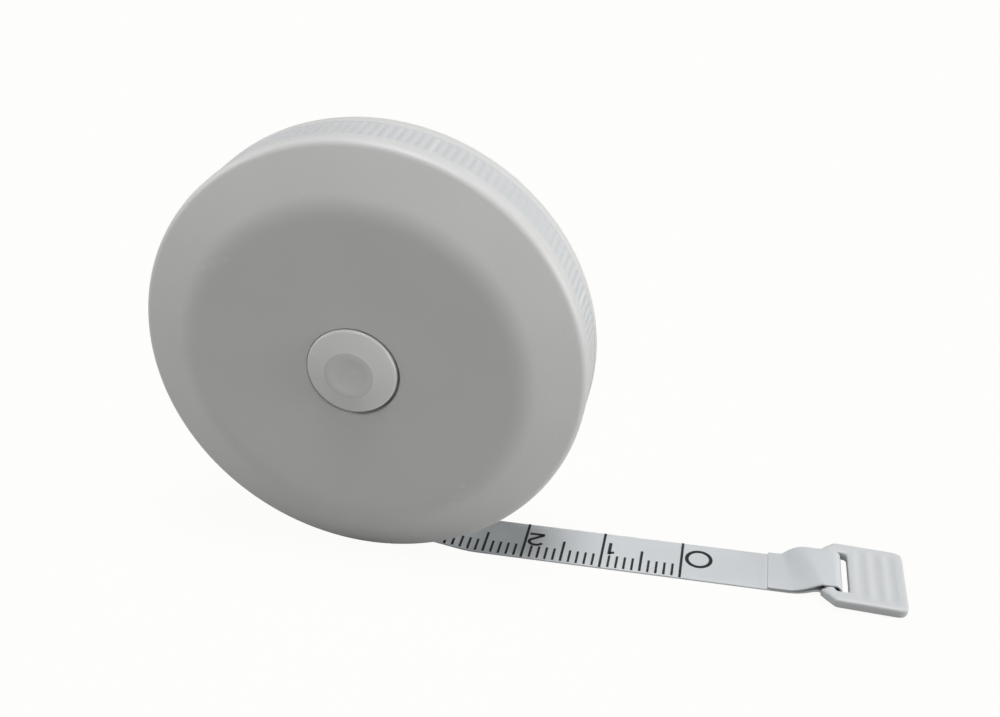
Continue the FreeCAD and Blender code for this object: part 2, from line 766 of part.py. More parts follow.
def make_pull_tab():
    """Bar, window and rippled pad, tipped so that the far end lies on the table."""
    body = doc.addObject("PartDesign::Body", "pull_tab")
    body.Label = "pull_tab"
    sketch = new_sketch(body, "plan", "XY_Plane")
    draw_outline(sketch, tab_plan())
    pad = body.newObject("PartDesign::Pad", "pull_tab_plate")
    pad.Profile = sketch
    pad.setExpression("Length", "Sizes.tab_thickness")
    pad.Midplane = True
    doc.recompute()
    soft = body.newObject("PartDesign::Fillet", "pull_tab_soft_edges")
    rims = []
    for number, edge in enumerate(pad.Shape.Edges, start=1):
        box = edge.BoundBox
        if box.ZLength < 1e-6:
            rims.append(f"Edge{number}")
    soft.Base = (pad, rims)
    soft.setExpression("Radius", "Sizes.tab_edge")
    doc.recompute()
    window = new_sketch(body, "window", "XY_Plane")
    gap = "Sizes.window_width / 2"
    past_bar = f"-Sizes.bar_end - {PAST}"
    draw_outline(window, box_outline(past_bar, f"-{gap}", "Sizes.window_end", gap))
    opening = body.newObject("PartDesign::Pocket", "pull_tab_opening")
    opening.Profile = window
    opening.Type = 1
    opening.Midplane = True
    doc.recompute()
    reach = f"{gap} + {PAST}"
    along_y(
        body,
        "bar",
        "Pad",
        lambda item: draw_circle(item, "0", "0", "Sizes.bar_radius"),
        f"-({reach})",
        reach,
    )
    cut_ripples(body)
    body.setExpression("Placement.Base.x", "Sizes.bar_place")
    body.setExpression("Placement.Base.y", "-Sizes.case_thickness / 2")
    body.setExpression("Placement.Base.z", "Sizes.bar_height - Sizes.case_diameter / 2")
    body.Placement.Rotation = FreeCAD.Rotation(FreeCAD.Vector(0, 1, 0), 1)
    body.setExpression("Placement.Rotation.Angle", "Sizes.tab_tilt")
    return body


def cut_ripples(body):
    """Shallow round grooves across the pad."""
    top = "Sizes.tab_thickness / 2"
    reach = "Sizes.tab_width / 2 - Sizes.ripple_border"
    pad_length = "(Sizes.tab_length - Sizes.bar_end - Sizes.window_end)"
    pitch = f"({pad_length} / (Sizes.ripple_count + 1))"
    for step in range(int(size("ripple_count"))):
        centre = f"(Sizes.window_end + {step + 1} * {pitch})"
        low = f"{centre} - Sizes.ripple_width / 2"
        high = f"{centre} + Sizes.ripple_width / 2"
        groove = [
            (low, f"{top} + {PAST}"),
            (low, top),
            (high, top, centre, f"{top} - Sizes.ripple_depth"),
            (high, f"{top} + {PAST}"),
        ]
        name = f"ripple_{step}"
        filler = lambda sketch, corners=groove: draw_outline(sketch, corners)
        along_y(body, name, "Pocket", filler, f"-({reach})", reach)


# ---------------------------------------------------------------- build and export

MAKERS = [
    make_front_cover, make_rim_band, make_rear_cover, make_spindle,
    make_reel, make_reel_cap, make_spring_cover, make_reel_washer, make_tape_anchor, make_mainspring,
    make_push_button, make_brake_disc, make_brake_ring, make_button_spring,
    make_tape_coil, make_tape_lead, make_tape_strip, make_tape_fold, make_pull_tab,
]


def main():
    pieces = [maker() for maker in MAKERS]
    doc.recompute()
    for item in doc.Objects:
        if "Invalid" in item.State or "Error" in item.State:
            raise RuntimeError(f"{item.Name}: {item.State}")
    os.makedirs("parts", exist_ok=True)
    for piece in pieces:
        shape = piece.Shape
        if shape.isNull() or not shape.isValid():
            raise RuntimeError(f"{piece.Label}: bad shape")
        shape.exportStep(f"parts/{piece.Label}.step")
        box = shape.optimalBoundingBox()
        print(f"{piece.Label:14s} volume {shape.Volume:9.2f}  x {box.XMin:7.2f} {box.XMax:7.2f}"
              f"  y {box.YMin:7.2f} {box.YMax:7.2f}  z {box.ZMin:7.2f} {box.ZMax:7.2f}"
              f"  solids {len(shape.Solids)}")


main()
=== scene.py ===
# %% [markdown]
# # A pocket tape measure
# This lesson builds a round white tape measure that stands on its rim with its ribbon drawn out.
# The mechanism comes ready made as a fixed frame: every node in it has its place, its body and its joints.
# Here each visible piece gets its finished surface, and the remade outer pieces are tied to the bodies that
# carry them.

# %% Load the frame
import json
import math

import bmesh
import bpy
from mathutils import Matrix, Vector


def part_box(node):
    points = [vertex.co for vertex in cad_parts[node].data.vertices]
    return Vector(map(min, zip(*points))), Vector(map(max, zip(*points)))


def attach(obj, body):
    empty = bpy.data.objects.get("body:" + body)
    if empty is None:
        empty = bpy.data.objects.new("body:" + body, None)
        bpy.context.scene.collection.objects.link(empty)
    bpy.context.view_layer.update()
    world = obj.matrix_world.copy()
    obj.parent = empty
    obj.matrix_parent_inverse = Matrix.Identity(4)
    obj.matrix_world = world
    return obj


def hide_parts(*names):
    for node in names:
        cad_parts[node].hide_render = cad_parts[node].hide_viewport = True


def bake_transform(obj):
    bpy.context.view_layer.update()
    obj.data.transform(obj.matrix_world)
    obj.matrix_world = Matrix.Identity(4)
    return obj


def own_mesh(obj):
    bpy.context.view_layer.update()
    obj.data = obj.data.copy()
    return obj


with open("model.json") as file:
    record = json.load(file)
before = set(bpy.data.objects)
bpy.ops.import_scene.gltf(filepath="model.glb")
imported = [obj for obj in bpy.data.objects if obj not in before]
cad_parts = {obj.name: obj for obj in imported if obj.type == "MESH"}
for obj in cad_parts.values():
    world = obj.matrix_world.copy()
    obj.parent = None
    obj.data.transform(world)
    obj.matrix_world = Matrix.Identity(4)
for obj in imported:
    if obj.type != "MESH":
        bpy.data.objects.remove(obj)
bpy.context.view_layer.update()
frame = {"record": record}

MM = 0.001

# %% [markdown]
# ## Where things are
# The real object is drawn around one axis, so the useful numbers are few: where that axis is, how big the
# case is round it, and where the ribbon and the tab lie. They are read from the frame rather than typed in,
# which keeps the visible pieces on top of the pieces that move and collide.

# %% Places and sizes
JOINTS = {joint["name"]: joint for joint in frame["record"]["behaviour"]["joints"]}
AXIS = Vector(JOINTS["reel_spin"]["pos_m"])
BAR = Vector(JOINTS["tab_swing"]["pos_m"])
FRONT_LOW, FRONT_HIGH = (Vector(corner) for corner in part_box("front_cover"))
REAR_HIGH = Vector(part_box("rear_cover")[1])
BUTTON_LOW = Vector(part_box("push_button")[0])
STRIP_LOW, STRIP_HIGH = (Vector(corner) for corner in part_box("tape_strip"))
FOLD_LOW, FOLD_HIGH = (Vector(corner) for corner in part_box("tape_fold"))
TAB_LOW, TAB_HIGH = (Vector(corner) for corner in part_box("pull_tab"))
CASE_RADIUS = (FRONT_HIGH.x - FRONT_LOW.x) / 2
CASE_HALF = REAR_HIGH.y - AXIS.y
FLOOR = FRONT_LOW.z
TAPE_HALF = (STRIP_HIGH.y - STRIP_LOW.y) / 2
TAPE_THICK = 0.3 * MM
print("case radius", round(CASE_RADIUS / MM, 2), "mm, half thickness", round(CASE_HALF / MM, 2), "mm")

# %% [markdown]
# ## The camera
# A camera is described by where it stands, which way it looks and how long its lens is. Giving the three
# viewing directions directly avoids guessing angles: right, up and forward make the rows of its rotation.

# %% Camera
SENSOR_WIDTH = 36.0
CAMERA_LENS = 42.36


def add_camera(place, forward, lens):
    data = bpy.data.cameras.new("camera")
    data.lens = lens
    data.sensor_width = SENSOR_WIDTH
    camera = bpy.data.objects.new("camera", data)
    bpy.context.collection.objects.link(camera)
    camera.matrix_world = Matrix.Translation(place) @ forward.to_track_quat("-Z", "Y").to_matrix().to_4x4()
    bpy.context.scene.camera = camera


CAMERA_FORWARD = Vector((-0.17829, 0.85876, -0.48036))
CAMERA_PLACE = AXIS + Vector((40.89, -120.23, 66.94)) * MM
add_camera(CAMERA_PLACE, CAMERA_FORWARD, CAMERA_LENS)
print("camera at", [round(value / MM, 1) for value in CAMERA_PLACE])

# %% [markdown]
# ## Floor and light
# The object is white on white. What shows its shape is that no light comes from the camera's side: soft suns
# stand above, to the right and to the left, and a dim room fills in. So the face that looks at the camera is
# in soft shade while the rim, the ribbon and the tab are lit. The floor is a pale sheet that throws some
# light back up, and it glows for the camera only, so that it reads as clean white.

# %% Floor
FLOOR_GLOW_SHARE = 0.93
FLOOR_GLOW = 1.03
FLOOR_GAP = 0.02 * MM
FLOOR_HALF_WIDTH = 4.0


def stage_material():
    material = bpy.data.materials.new("pale_floor")
    material.use_nodes = True
    nodes, links = material.node_tree.nodes, material.node_tree.links
    nodes.clear()
    output = nodes.new("ShaderNodeOutputMaterial")
    blend = nodes.new("ShaderNodeMixShader")
    matt = nodes.new("ShaderNodeBsdfDiffuse")
    glow = nodes.new("ShaderNodeEmission")
    path = nodes.new("ShaderNodeLightPath")
    share = nodes.new("ShaderNodeMath")
    share.operation = "MULTIPLY"
    share.inputs[1].default_value = FLOOR_GLOW_SHARE
    matt.inputs["Color"].default_value = (0.48, 0.48, 0.47, 1)
    glow.inputs["Color"].default_value = (1.0, 0.996, 0.984, 1)
    glow.inputs["Strength"].default_value = FLOOR_GLOW
    links.new(path.outputs["Is Camera Ray"], share.inputs[0])
    links.new(share.outputs[0], blend.inputs[0])
    links.new(matt.outputs[0], blend.inputs[1])
    links.new(glow.outputs[0], blend.inputs[2])
    links.new(blend.outputs[0], output.inputs["Surface"])
    return material


def add_floor(half_width):
    mesh = bpy.data.meshes.new("floor")
    corners = [(-half_width, -half_width), (half_width, -half_width), (half_width, half_width)]
    corners.append((-half_width, half_width))
    mesh.from_pydata([(x, y, FLOOR - FLOOR_GAP) for x, y in corners], [], [(0, 1, 2, 3)])
    mesh.materials.append(stage_material())
    floor = bpy.data.objects.new("floor", mesh)
    bpy.context.collection.objects.link(floor)


add_floor(FLOOR_HALF_WIDTH)


# %% Lights
SUN_SPREAD = 30


def add_soft_sun(name, towards, strength, colour):
    """A large far light. towards points from the object to the light."""
    data = bpy.data.lights.new(name, "SUN")
    data.energy = strength
    data.angle = math.radians(SUN_SPREAD)
    data.color = colour
    light = bpy.data.objects.new(name, data)
    bpy.context.collection.objects.link(light)
    light.rotation_mode = "QUATERNION"
    light.rotation_quaternion = Vector(towards).to_track_quat("Z", "Y")


def set_world(colour, strength, seen):
    """Dim light from all round, with a pale backdrop where the camera sees past the floor."""
    world = bpy.data.worlds.new("soft_room")
    world.use_nodes = True
    nodes, links = world.node_tree.nodes, world.node_tree.links
    back = nodes["Background"]
    back.inputs["Color"].default_value = (*colour, 1)
    path = nodes.new("ShaderNodeLightPath")
    level = nodes.new("ShaderNodeMapRange")
    level.inputs["To Min"].default_value = strength
    level.inputs["To Max"].default_value = seen
    links.new(path.outputs["Is Camera Ray"], level.inputs["Value"])
    links.new(level.outputs["Result"], back.inputs["Strength"])
    bpy.context.scene.world = world


set_world(colour=(0.97, 0.985, 1.0), strength=0.13, seen=0.98)
add_soft_sun("light_above", (0.1, 0.0, 1.0), 1.85, (0.985, 0.995, 1.0))
add_soft_sun("light_right", (1.0, 0.0, 0.1), 1.85, (0.99, 0.995, 1.0))
add_soft_sun("light_left", (-1.0, 0.0, 0.5), 0.95, (1.0, 0.995, 0.985))
bpy.context.scene.view_settings.view_transform = "Standard"
print("lights:", len(bpy.data.lights))

# %% [markdown]
# ## Shared shader effects
# Moulded plastic is never one flat colour. It has a fine grain from the mould and slow drifts in tone. Its
# convex corners also get a painted highlight, a paler colour along the edges. Each of these effects is built
# once as a node group with named inputs, and every material below places the group with values of its own.

# %% Group helpers
def new_group(name, inputs, outputs):
    group = bpy.data.node_groups.new(name, "ShaderNodeTree")
    for label, kind, value in inputs:
        socket = group.interface.new_socket(name=label, in_out="INPUT", socket_type=kind)
        socket.default_value = value
    for label, kind in outputs:
        group.interface.new_socket(name=label, in_out="OUTPUT", socket_type=kind)
    start = group.nodes.new("NodeGroupInput")
    end = group.nodes.new("NodeGroupOutput")
    return group, start, end


def noise(group, scale_socket, detail):
    place = group.nodes.new("ShaderNodeTexCoord")
    texture = group.nodes.new("ShaderNodeTexNoise")
    texture.inputs["Detail"].default_value = detail
    group.links.new(place.outputs["Object"], texture.inputs["Vector"])
    group.links.new(scale_socket, texture.inputs["Scale"])
    return texture


# %% Mottle: slow drifts in tone
def build_mottle():
    group, start, end = new_group(
        "mottle",
        [("Light", "NodeSocketColor", (0.8, 0.8, 0.8, 1)), ("Dark", "NodeSocketColor", (0.7, 0.7, 0.7, 1)),
         ("Scale", "NodeSocketFloat", 60.0), ("Amount", "NodeSocketFloat", 0.5)],
        [("Color", "NodeSocketColor")],
    )
    texture = noise(group, start.outputs["Scale"], 4.0)
    spread = group.nodes.new("ShaderNodeMapRange")
    spread.inputs["From Min"].default_value = 0.35
    spread.inputs["From Max"].default_value = 0.65
    scaled = group.nodes.new("ShaderNodeMath")
    scaled.operation = "MULTIPLY"
    mix = group.nodes.new("ShaderNodeMix")
    mix.data_type = "RGBA"
    group.links.new(texture.outputs["Fac"], spread.inputs["Value"])
    group.links.new(spread.outputs["Result"], scaled.inputs[0])
    group.links.new(start.outputs["Amount"], scaled.inputs[1])
    group.links.new(scaled.outputs[0], mix.inputs["Factor"])
    group.links.new(start.outputs["Light"], mix.inputs["A"])
    group.links.new(start.outputs["Dark"], mix.inputs["B"])
    group.links.new(mix.outputs["Result"], end.inputs["Color"])
    return group


MOTTLE = build_mottle()
print("group:", MOTTLE.name)


# %% Mould grain: fine bumps and the roughness that goes with them
def build_grain():
    group, start, end = new_group(
        "mould_grain",
        [("Scale", "NodeSocketFloat", 2600.0), ("Roughness", "NodeSocketFloat", 0.45),
         ("Spread", "NodeSocketFloat", 0.1)],
        [("Height", "NodeSocketFloat"), ("Roughness", "NodeSocketFloat")],
    )
    texture = noise(group, start.outputs["Scale"], 3.0)
    centred = group.nodes.new("ShaderNodeMath")
    centred.operation = "SUBTRACT"
    centred.inputs[1].default_value = 0.5
    scaled = group.nodes.new("ShaderNodeMath")
    scaled.operation = "MULTIPLY"
    total = group.nodes.new("ShaderNodeMath")
    total.operation = "ADD"
    group.links.new(texture.outputs["Fac"], end.inputs["Height"])
    group.links.new(texture.outputs["Fac"], centred.inputs[0])
    group.links.new(centred.outputs[0], scaled.inputs[0])
    group.links.new(start.outputs["Spread"], scaled.inputs[1])
    group.links.new(scaled.outputs[0], total.inputs[0])
    group.links.new(start.outputs["Roughness"], total.inputs[1])
    group.links.new(total.outputs[0], end.inputs["Roughness"])
    return group


GRAIN = build_grain()
print("group:", GRAIN.name)


# %% Painted edge highlight: convex corners painted a little lighter
def build_painted_edge_highlight():
    group, start, end = new_group(
        "painted_edge_highlight",
        [("Color", "NodeSocketColor", (0.8, 0.8, 0.8, 1)),
         ("Highlight Color", "NodeSocketColor", (0.9, 0.9, 0.9, 1)), ("Amount", "NodeSocketFloat", 0.5)],
        [("Color", "NodeSocketColor")],
    )
    # Pointy places, the convex edges, get the paler colour: a painted highlight along every edge.
    shape = group.nodes.new("ShaderNodeNewGeometry")
    highlight_mask = group.nodes.new("ShaderNodeMapRange")
    highlight_mask.inputs["From Min"].default_value = 0.5
    highlight_mask.inputs["From Max"].default_value = 0.62
    scaled = group.nodes.new("ShaderNodeMath")
    scaled.operation = "MULTIPLY"
    mix = group.nodes.new("ShaderNodeMix")
    mix.data_type = "RGBA"
    group.links.new(shape.outputs["Pointiness"], highlight_mask.inputs["Value"])
    group.links.new(highlight_mask.outputs["Result"], scaled.inputs[0])
    group.links.new(start.outputs["Amount"], scaled.inputs[1])
    group.links.new(scaled.outputs[0], mix.inputs["Factor"])
    group.links.new(start.outputs["Color"], mix.inputs["A"])
    group.links.new(start.outputs["Highlight Color"], mix.inputs["B"])
    group.links.new(mix.outputs["Result"], end.inputs["Color"])
    return group


PAINTED_EDGE_HIGHLIGHT = build_painted_edge_highlight()
print("group:", PAINTED_EDGE_HIGHLIGHT.name)


# %% Weave: the glass threads that show faintly through the ribbon's coating
def build_weave():
    group, start, end = new_group(
        "ribbon_weave",
        [("Thread", "NodeSocketFloat", 2600.0)],
        [("Height", "NodeSocketFloat")],
    )
    place = group.nodes.new("ShaderNodeTexCoord")
    waves = []
    for direction in ("X", "Y"):
        wave = group.nodes.new("ShaderNodeTexWave")
        wave.bands_direction = direction
        wave.inputs["Distortion"].default_value = 0.4
        wave.inputs["Detail"].default_value = 1.0
        group.links.new(place.outputs["Object"], wave.inputs["Vector"])
        group.links.new(start.outputs["Thread"], wave.inputs["Scale"])
        waves.append(wave)
    crossing = group.nodes.new("ShaderNodeMath")
    crossing.operation = "MULTIPLY"
    group.links.new(waves[0].outputs["Fac"], crossing.inputs[0])
    group.links.new(waves[1].outputs["Fac"], crossing.inputs[1])
    group.links.new(crossing.outputs[0], end.inputs["Height"])
    return group


WEAVE = build_weave()
print("group:", WEAVE.name)


# %% [markdown]
# ## Finishes
# A finish is a Principled shader with the groups wired into it. White plastic looks white because its base
# colour is only about 0.8: brighter than that it loses all shading. The ribbon is a coated fabric, a touch
# bluer and glossier than the case, and its print is a dull black ink.

# %% Plastic
def add_group(material, group, values):
    node = material.node_tree.nodes.new("ShaderNodeGroup")
    node.node_tree = group
    for name, value in values.items():
        node.inputs[name].default_value = value
    return node


def new_material(name):
    material = bpy.data.materials.new(name)
    material.use_nodes = True
    return material, material.node_tree.nodes["Principled BSDF"], material.node_tree.links


def add_bump(material, height, shader, distance, strength):
    bump = material.node_tree.nodes.new("ShaderNodeBump")
    bump.inputs["Distance"].default_value = distance
    bump.inputs["Strength"].default_value = strength
    material.node_tree.links.new(height, bump.inputs["Height"])
    material.node_tree.links.new(bump.outputs["Normal"], shader.inputs["Normal"])


PLASTIC_IOR = 1.53
COATING_IOR = 1.5
# How much paler the painted edge highlight on convex corners is than the plastic's own colour.
HIGHLIGHT_PALER = 1.07


def plastic(name, light, dark, roughness, grain_scale, grain_depth, highlight_amount=0.5):
    material, shader, links = new_material(name)
    tone = add_group(material, MOTTLE, {
        "Light": (*light, 1), "Dark": (*dark, 1), "Scale": 90.0, "Amount": 0.6})
    # The paler colour is a painted highlight on convex corners, not a colour of the plastic.
    pale = tuple(min(1.0, value * HIGHLIGHT_PALER) for value in light)
    edge = add_group(material, PAINTED_EDGE_HIGHLIGHT, {"Highlight Color": (*pale, 1), "Amount": highlight_amount})
    grain = add_group(material, GRAIN, {"Scale": grain_scale, "Roughness": roughness, "Spread": 0.25})
    links.new(tone.outputs["Color"], edge.inputs["Color"])
    links.new(edge.outputs["Color"], shader.inputs["Base Color"])
    links.new(grain.outputs["Roughness"], shader.inputs["Roughness"])
    shader.inputs["IOR"].default_value = PLASTIC_IOR
    add_bump(material, grain.outputs["Height"], shader, grain_depth, 0.6)
    return material


# Where a seventh number is given, it is the strength of the painted edge highlight.
CASE_WHITE = plastic("case_white", (0.80, 0.80, 0.785), (0.765, 0.765, 0.75), 0.46, 2600.0, 0.02 * MM)
BAND_WHITE = plastic("band_white", (0.74, 0.75, 0.755), (0.70, 0.71, 0.715), 0.42, 2200.0, 0.01 * MM, 0.8)
BUTTON_WHITE = plastic("button_white", (0.86, 0.86, 0.84), (0.83, 0.83, 0.81), 0.40, 2000.0, 0.008 * MM)
TAB_WHITE = plastic("tab_white", (0.79, 0.805, 0.81), (0.75, 0.765, 0.77), 0.38, 1800.0, 0.01 * MM, 0.8)
REEL_WHITE = plastic("reel_white", (0.74, 0.74, 0.70), (0.66, 0.66, 0.63), 0.5, 1500.0, 0.01 * MM)
WASHER_GREY = plastic("washer_grey", (0.62, 0.64, 0.64), (0.52, 0.54, 0.54), 0.35, 1500.0, 0.005 * MM)
RUBBER_BLACK = plastic("rubber_black", (0.05, 0.05, 0.05), (0.03, 0.03, 0.03), 0.8, 3000.0, 0.02 * MM)
print("plastics:", [item.name for item in bpy.data.materials if item.name.endswith("white")])


# %% Ribbon, ink and spring steel
def ribbon_coat():
    material, shader, links = new_material("ribbon_coat")
    tone = add_group(material, MOTTLE, {
        "Light": (0.80, 0.825, 0.84, 1), "Dark": (0.76, 0.785, 0.80, 1), "Scale": 140.0, "Amount": 0.7})
    weave = add_group(material, WEAVE, {"Thread": 900.0})
    grain = add_group(material, GRAIN, {"Scale": 900.0, "Roughness": 0.38, "Spread": 0.2})
    links.new(tone.outputs["Color"], shader.inputs["Base Color"])
    links.new(grain.outputs["Roughness"], shader.inputs["Roughness"])
    shader.inputs["IOR"].default_value = COATING_IOR
    add_bump(material, weave.outputs["Height"], shader, 0.008 * MM, 0.5)
    return material


def ink(name):
    material, shader, links = new_material(name)
    tone = add_group(material, MOTTLE, {
        "Light": (0.018, 0.02, 0.022, 1), "Dark": (0.045, 0.047, 0.05, 1), "Scale": 2500.0, "Amount": 0.6})
    grain = add_group(material, GRAIN, {"Scale": 4000.0, "Roughness": 0.5, "Spread": 0.2})
    links.new(tone.outputs["Color"], shader.inputs["Base Color"])
    links.new(grain.outputs["Roughness"], shader.inputs["Roughness"])
    return material


def spring_steel():
    material, shader, links = new_material("spring_steel")
    tone = add_group(material, MOTTLE, {
        "Light": (0.42, 0.43, 0.46, 1), "Dark": (0.28, 0.30, 0.36, 1), "Scale": 300.0, "Amount": 0.8})
    grain = add_group(material, GRAIN, {"Scale": 5000.0, "Roughness": 0.3, "Spread": 0.2})
    links.new(tone.outputs["Color"], shader.inputs["Base Color"])
    links.new(grain.outputs["Roughness"], shader.inputs["Roughness"])
    shader.inputs["Metallic"].default_value = 1.0
    return material


RIBBON = ribbon_coat()
INK = ink("scale_ink")
STEEL = spring_steel()
print("materials:", len(bpy.data.materials))

# %% [markdown]
# ## Tools for round parts
# The covers, the band and the button are all turned shapes: one section swept round an axis. Blender's
# Spin or Screw would do it, but a small lathe function gives exact control of the section, of soft corners
# and of ribs.
# A corner is softened by swapping it for a short curve whose ends lie a chosen reach along both sides.

# %% Soft corners
def soften(corners, closed=True):
    """Points of an outline. A corner is (a, b) or (a, b, reach, steps) for a soft one."""
    points = []
    count = len(corners)
    for index, corner in enumerate(corners):
        here = Vector(corner[:2])
        is_end = not closed and index in (0, count - 1)
        if len(corner) == 2 or is_end:
            points.append(here)
            continue
        before = Vector(corners[index - 1][:2])
        after = Vector(corners[(index + 1) % count][:2])
        start = here + (before - here).normalized() * corner[2]
        end = here + (after - here).normalized() * corner[2]
        for step in range(corner[3] + 1):
            share = step / corner[3]
            points.append(start * (1 - share) ** 2 + here * 2 * share * (1 - share) + end * share ** 2)
    return points


# %% Lathe
MERGE_DISTANCE = 1e-7
CUT_SHARP_ANGLE = 38.0


def finish_mesh(name, mesh, material, sharp_angle):
    mesh.validate()
    build = bmesh.new()
    build.from_mesh(mesh)
    bmesh.ops.remove_doubles(build, verts=build.verts, dist=MERGE_DISTANCE)
    bmesh.ops.recalc_face_normals(build, faces=build.faces)
    build.to_mesh(mesh)
    build.free()
    mesh.shade_smooth()
    mesh.set_sharp_from_angle(angle=math.radians(sharp_angle))
    mesh.materials.append(material)
    piece = bpy.data.objects.new(name, mesh)
    bpy.context.collection.objects.link(piece)
    return piece


def lathe_mesh(name, outline, segments, shape=None):
    """Sweep an outline of (radius, y) in millimetres round the case axis. shape may move each point."""
    points = []
    for turn in range(segments):
        angle = 2 * math.pi * turn / segments
        for spot in outline:
            radius, y = shape(spot, angle) if shape else spot
            points.append(AXIS + Vector((radius * math.cos(angle), y, radius * math.sin(angle))) * MM)
    count = len(outline)
    faces = []
    for turn in range(segments):
        following = (turn + 1) % segments
        for index in range(count):
            after = (index + 1) % count
            faces.append((turn * count + index, turn * count + after,
                          following * count + after, following * count + index))
    mesh = bpy.data.meshes.new(name)
    mesh.from_pydata(points, [], faces)
    return mesh


# %% Cutting the slot
def cut_away(piece, cutter):
    """Boolean difference, applied to the mesh."""
    modifier = piece.modifiers.new("cut", "BOOLEAN")
    modifier.operation = "DIFFERENCE"
    modifier.solver = "EXACT"
    modifier.object = cutter
    evaluated = piece.evaluated_get(bpy.context.evaluated_depsgraph_get())
    result = bpy.data.meshes.new_from_object(evaluated)
    piece.modifiers.clear()
    old = piece.data
    piece.data = result
    bpy.data.meshes.remove(old)
    result.set_sharp_from_angle(angle=math.radians(CUT_SHARP_ANGLE))


def remove_piece(piece):
    mesh = piece.data
    bpy.data.objects.remove(piece)
    bpy.data.meshes.remove(mesh)


SLOPE = math.radians(10.0)
MOUTH = Vector((STRIP_LOW.x, AXIS.y, STRIP_HIGH.z - TAPE_THICK / 2 * math.cos(SLOPE)))
SLOT_PLAY = 0.15 * MM
SLOT_HALF_WIDTH = TAPE_HALF + SLOT_PLAY
SLOT_HALF_HEIGHT = 0.6 * MM
SLOT_INWARDS = 4.0 * MM
SLOT_OUTWARDS = 9.0 * MM


def slot_cutter():
    along = Vector((math.cos(SLOPE), 0, -math.sin(SLOPE)))
    across = Vector((math.sin(SLOPE), 0, math.cos(SLOPE)))
    build = bmesh.new()
    corners = []
    for distance in (-SLOT_INWARDS, SLOT_OUTWARDS):
        for side, height in ((-1, -1), (1, -1), (1, 1), (-1, 1)):
            spot = MOUTH + along * distance + across * height * SLOT_HALF_HEIGHT
            spot.y += side * SLOT_HALF_WIDTH
            corners.append(build.verts.new(spot))
    for ring in ((3, 2, 1, 0), (4, 5, 6, 7), (0, 1, 5, 4), (1, 2, 6, 5), (2, 3, 7, 6), (3, 0, 4, 7)):
        build.faces.new([corners[index] for index in ring])
    bmesh.ops.recalc_face_normals(build, faces=build.faces)
    mesh = bpy.data.meshes.new("slot_cutter")
    build.to_mesh(mesh)
    build.free()
    cutter = bpy.data.objects.new("slot_cutter", mesh)
    bpy.context.collection.objects.link(cutter)
    return cutter


CUTTER = slot_cutter()
print("slot starts at", [round(value / MM, 2) for value in MOUTH])

# %% [markdown]
# ## The covers
# Each cover is a shallow dish moulded in white plastic. The middle is flat; near the rim it falls away in a
# cone, and the turn between the two is so wide that it shows only as a change of tone. The front cover has a
# round hole for the button, with a faint swell round it.

# %% Cover sections
FACE = CASE_HALF / MM
RADIUS = CASE_RADIUS / MM
FLAT_CORNER = 20.2
GRADE = 0.417
BAND_EDGE = 2.2
LINER_OUTER = RADIUS - 1.0
LINER_INNER = RADIUS - 1.8
LINER_REACH = 4.0
INNER_FACE = FACE - 1.2
INNER_FLAT = 19.4
HOLE_RADIUS = 5.64
SWELL_HEIGHT = 0.12
SWELL_WIDTH = 3.2
POCKET_RADIUS = 3.0
POCKET_DEPTH = 0.7
NEAR_AXIS = 0.01
COVER_SEGMENTS = 384
COVER_SHARP_ANGLE = 30.0
# Soft corners: how far they reach along both sides, and in how many steps.
FACE_BLEND, RIM_ROUND, SEAM_ROUND = (1.6, 14), (0.85, 12), (0.12, 3)
HOLE_ROUND, SWELL_BLEND = (0.2, 4), (2.2, 8)


def outer_face(side):
    """From the flat outwards over the edge to the seam, then back along the inside. side is -1 or 1."""
    edge_y = FACE - GRADE * (RADIUS - FLAT_CORNER)
    return [
        (FLAT_CORNER, side * FACE, *FACE_BLEND),
        (RADIUS, side * edge_y, *RIM_ROUND),
        (RADIUS, side * BAND_EDGE, *SEAM_ROUND),
        (LINER_OUTER, side * BAND_EDGE),
        (LINER_OUTER, side * LINER_REACH),
        (LINER_INNER, side * LINER_REACH),
        (INNER_FLAT, side * INNER_FACE),
    ]


def build_front_cover():
    section = [
        (HOLE_RADIUS, -INNER_FACE),
        (HOLE_RADIUS, -FACE - SWELL_HEIGHT, *HOLE_ROUND),
        (HOLE_RADIUS + SWELL_WIDTH, -FACE, *SWELL_BLEND),
    ]
    mesh = lathe_mesh("front_cover_shell", soften(section + outer_face(-1)), COVER_SEGMENTS)
    piece = finish_mesh("front_cover_shell", mesh, CASE_WHITE, COVER_SHARP_ANGLE)
    cut_away(piece, CUTTER)
    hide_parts("front_cover")
    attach(piece, "case")
    return piece


def build_rear_cover():
    pocket = INNER_FACE + POCKET_DEPTH
    section = [(POCKET_RADIUS, INNER_FACE), (POCKET_RADIUS, pocket), (NEAR_AXIS, pocket), (NEAR_AXIS, FACE)]
    mesh = lathe_mesh("rear_cover_shell", soften(section + outer_face(1)), COVER_SEGMENTS)
    piece = finish_mesh("rear_cover_shell", mesh, CASE_WHITE, COVER_SHARP_ANGLE)
    cut_away(piece, CUTTER)
    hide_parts("rear_cover")
    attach(piece, "case")
    return piece


FRONT = build_front_cover()
REAR = build_rear_cover()
print("covers:", len(FRONT.data.vertices), "and", len(REAR.data.vertices), "points")

# %% [markdown]
# ## The ribbed band
# Round the middle of the rim runs a band of fine ribs for grip. They could be bump only, but the outline of
# the case shows them, so they are real: the lathe's shape function pulls the surface in between ribs, and
# lets the ribs run out softly at both ends.

# %% Rim band
RIB_COUNT = 160
RIB_DEPTH = 0.16
RIB_STEPS = 8
RIB_FADE = 0.45
RIB_SHARPNESS = 1.3
BAND_GAP = 0.04
BAND_SINK = 0.05
BAND_STEPS = 10


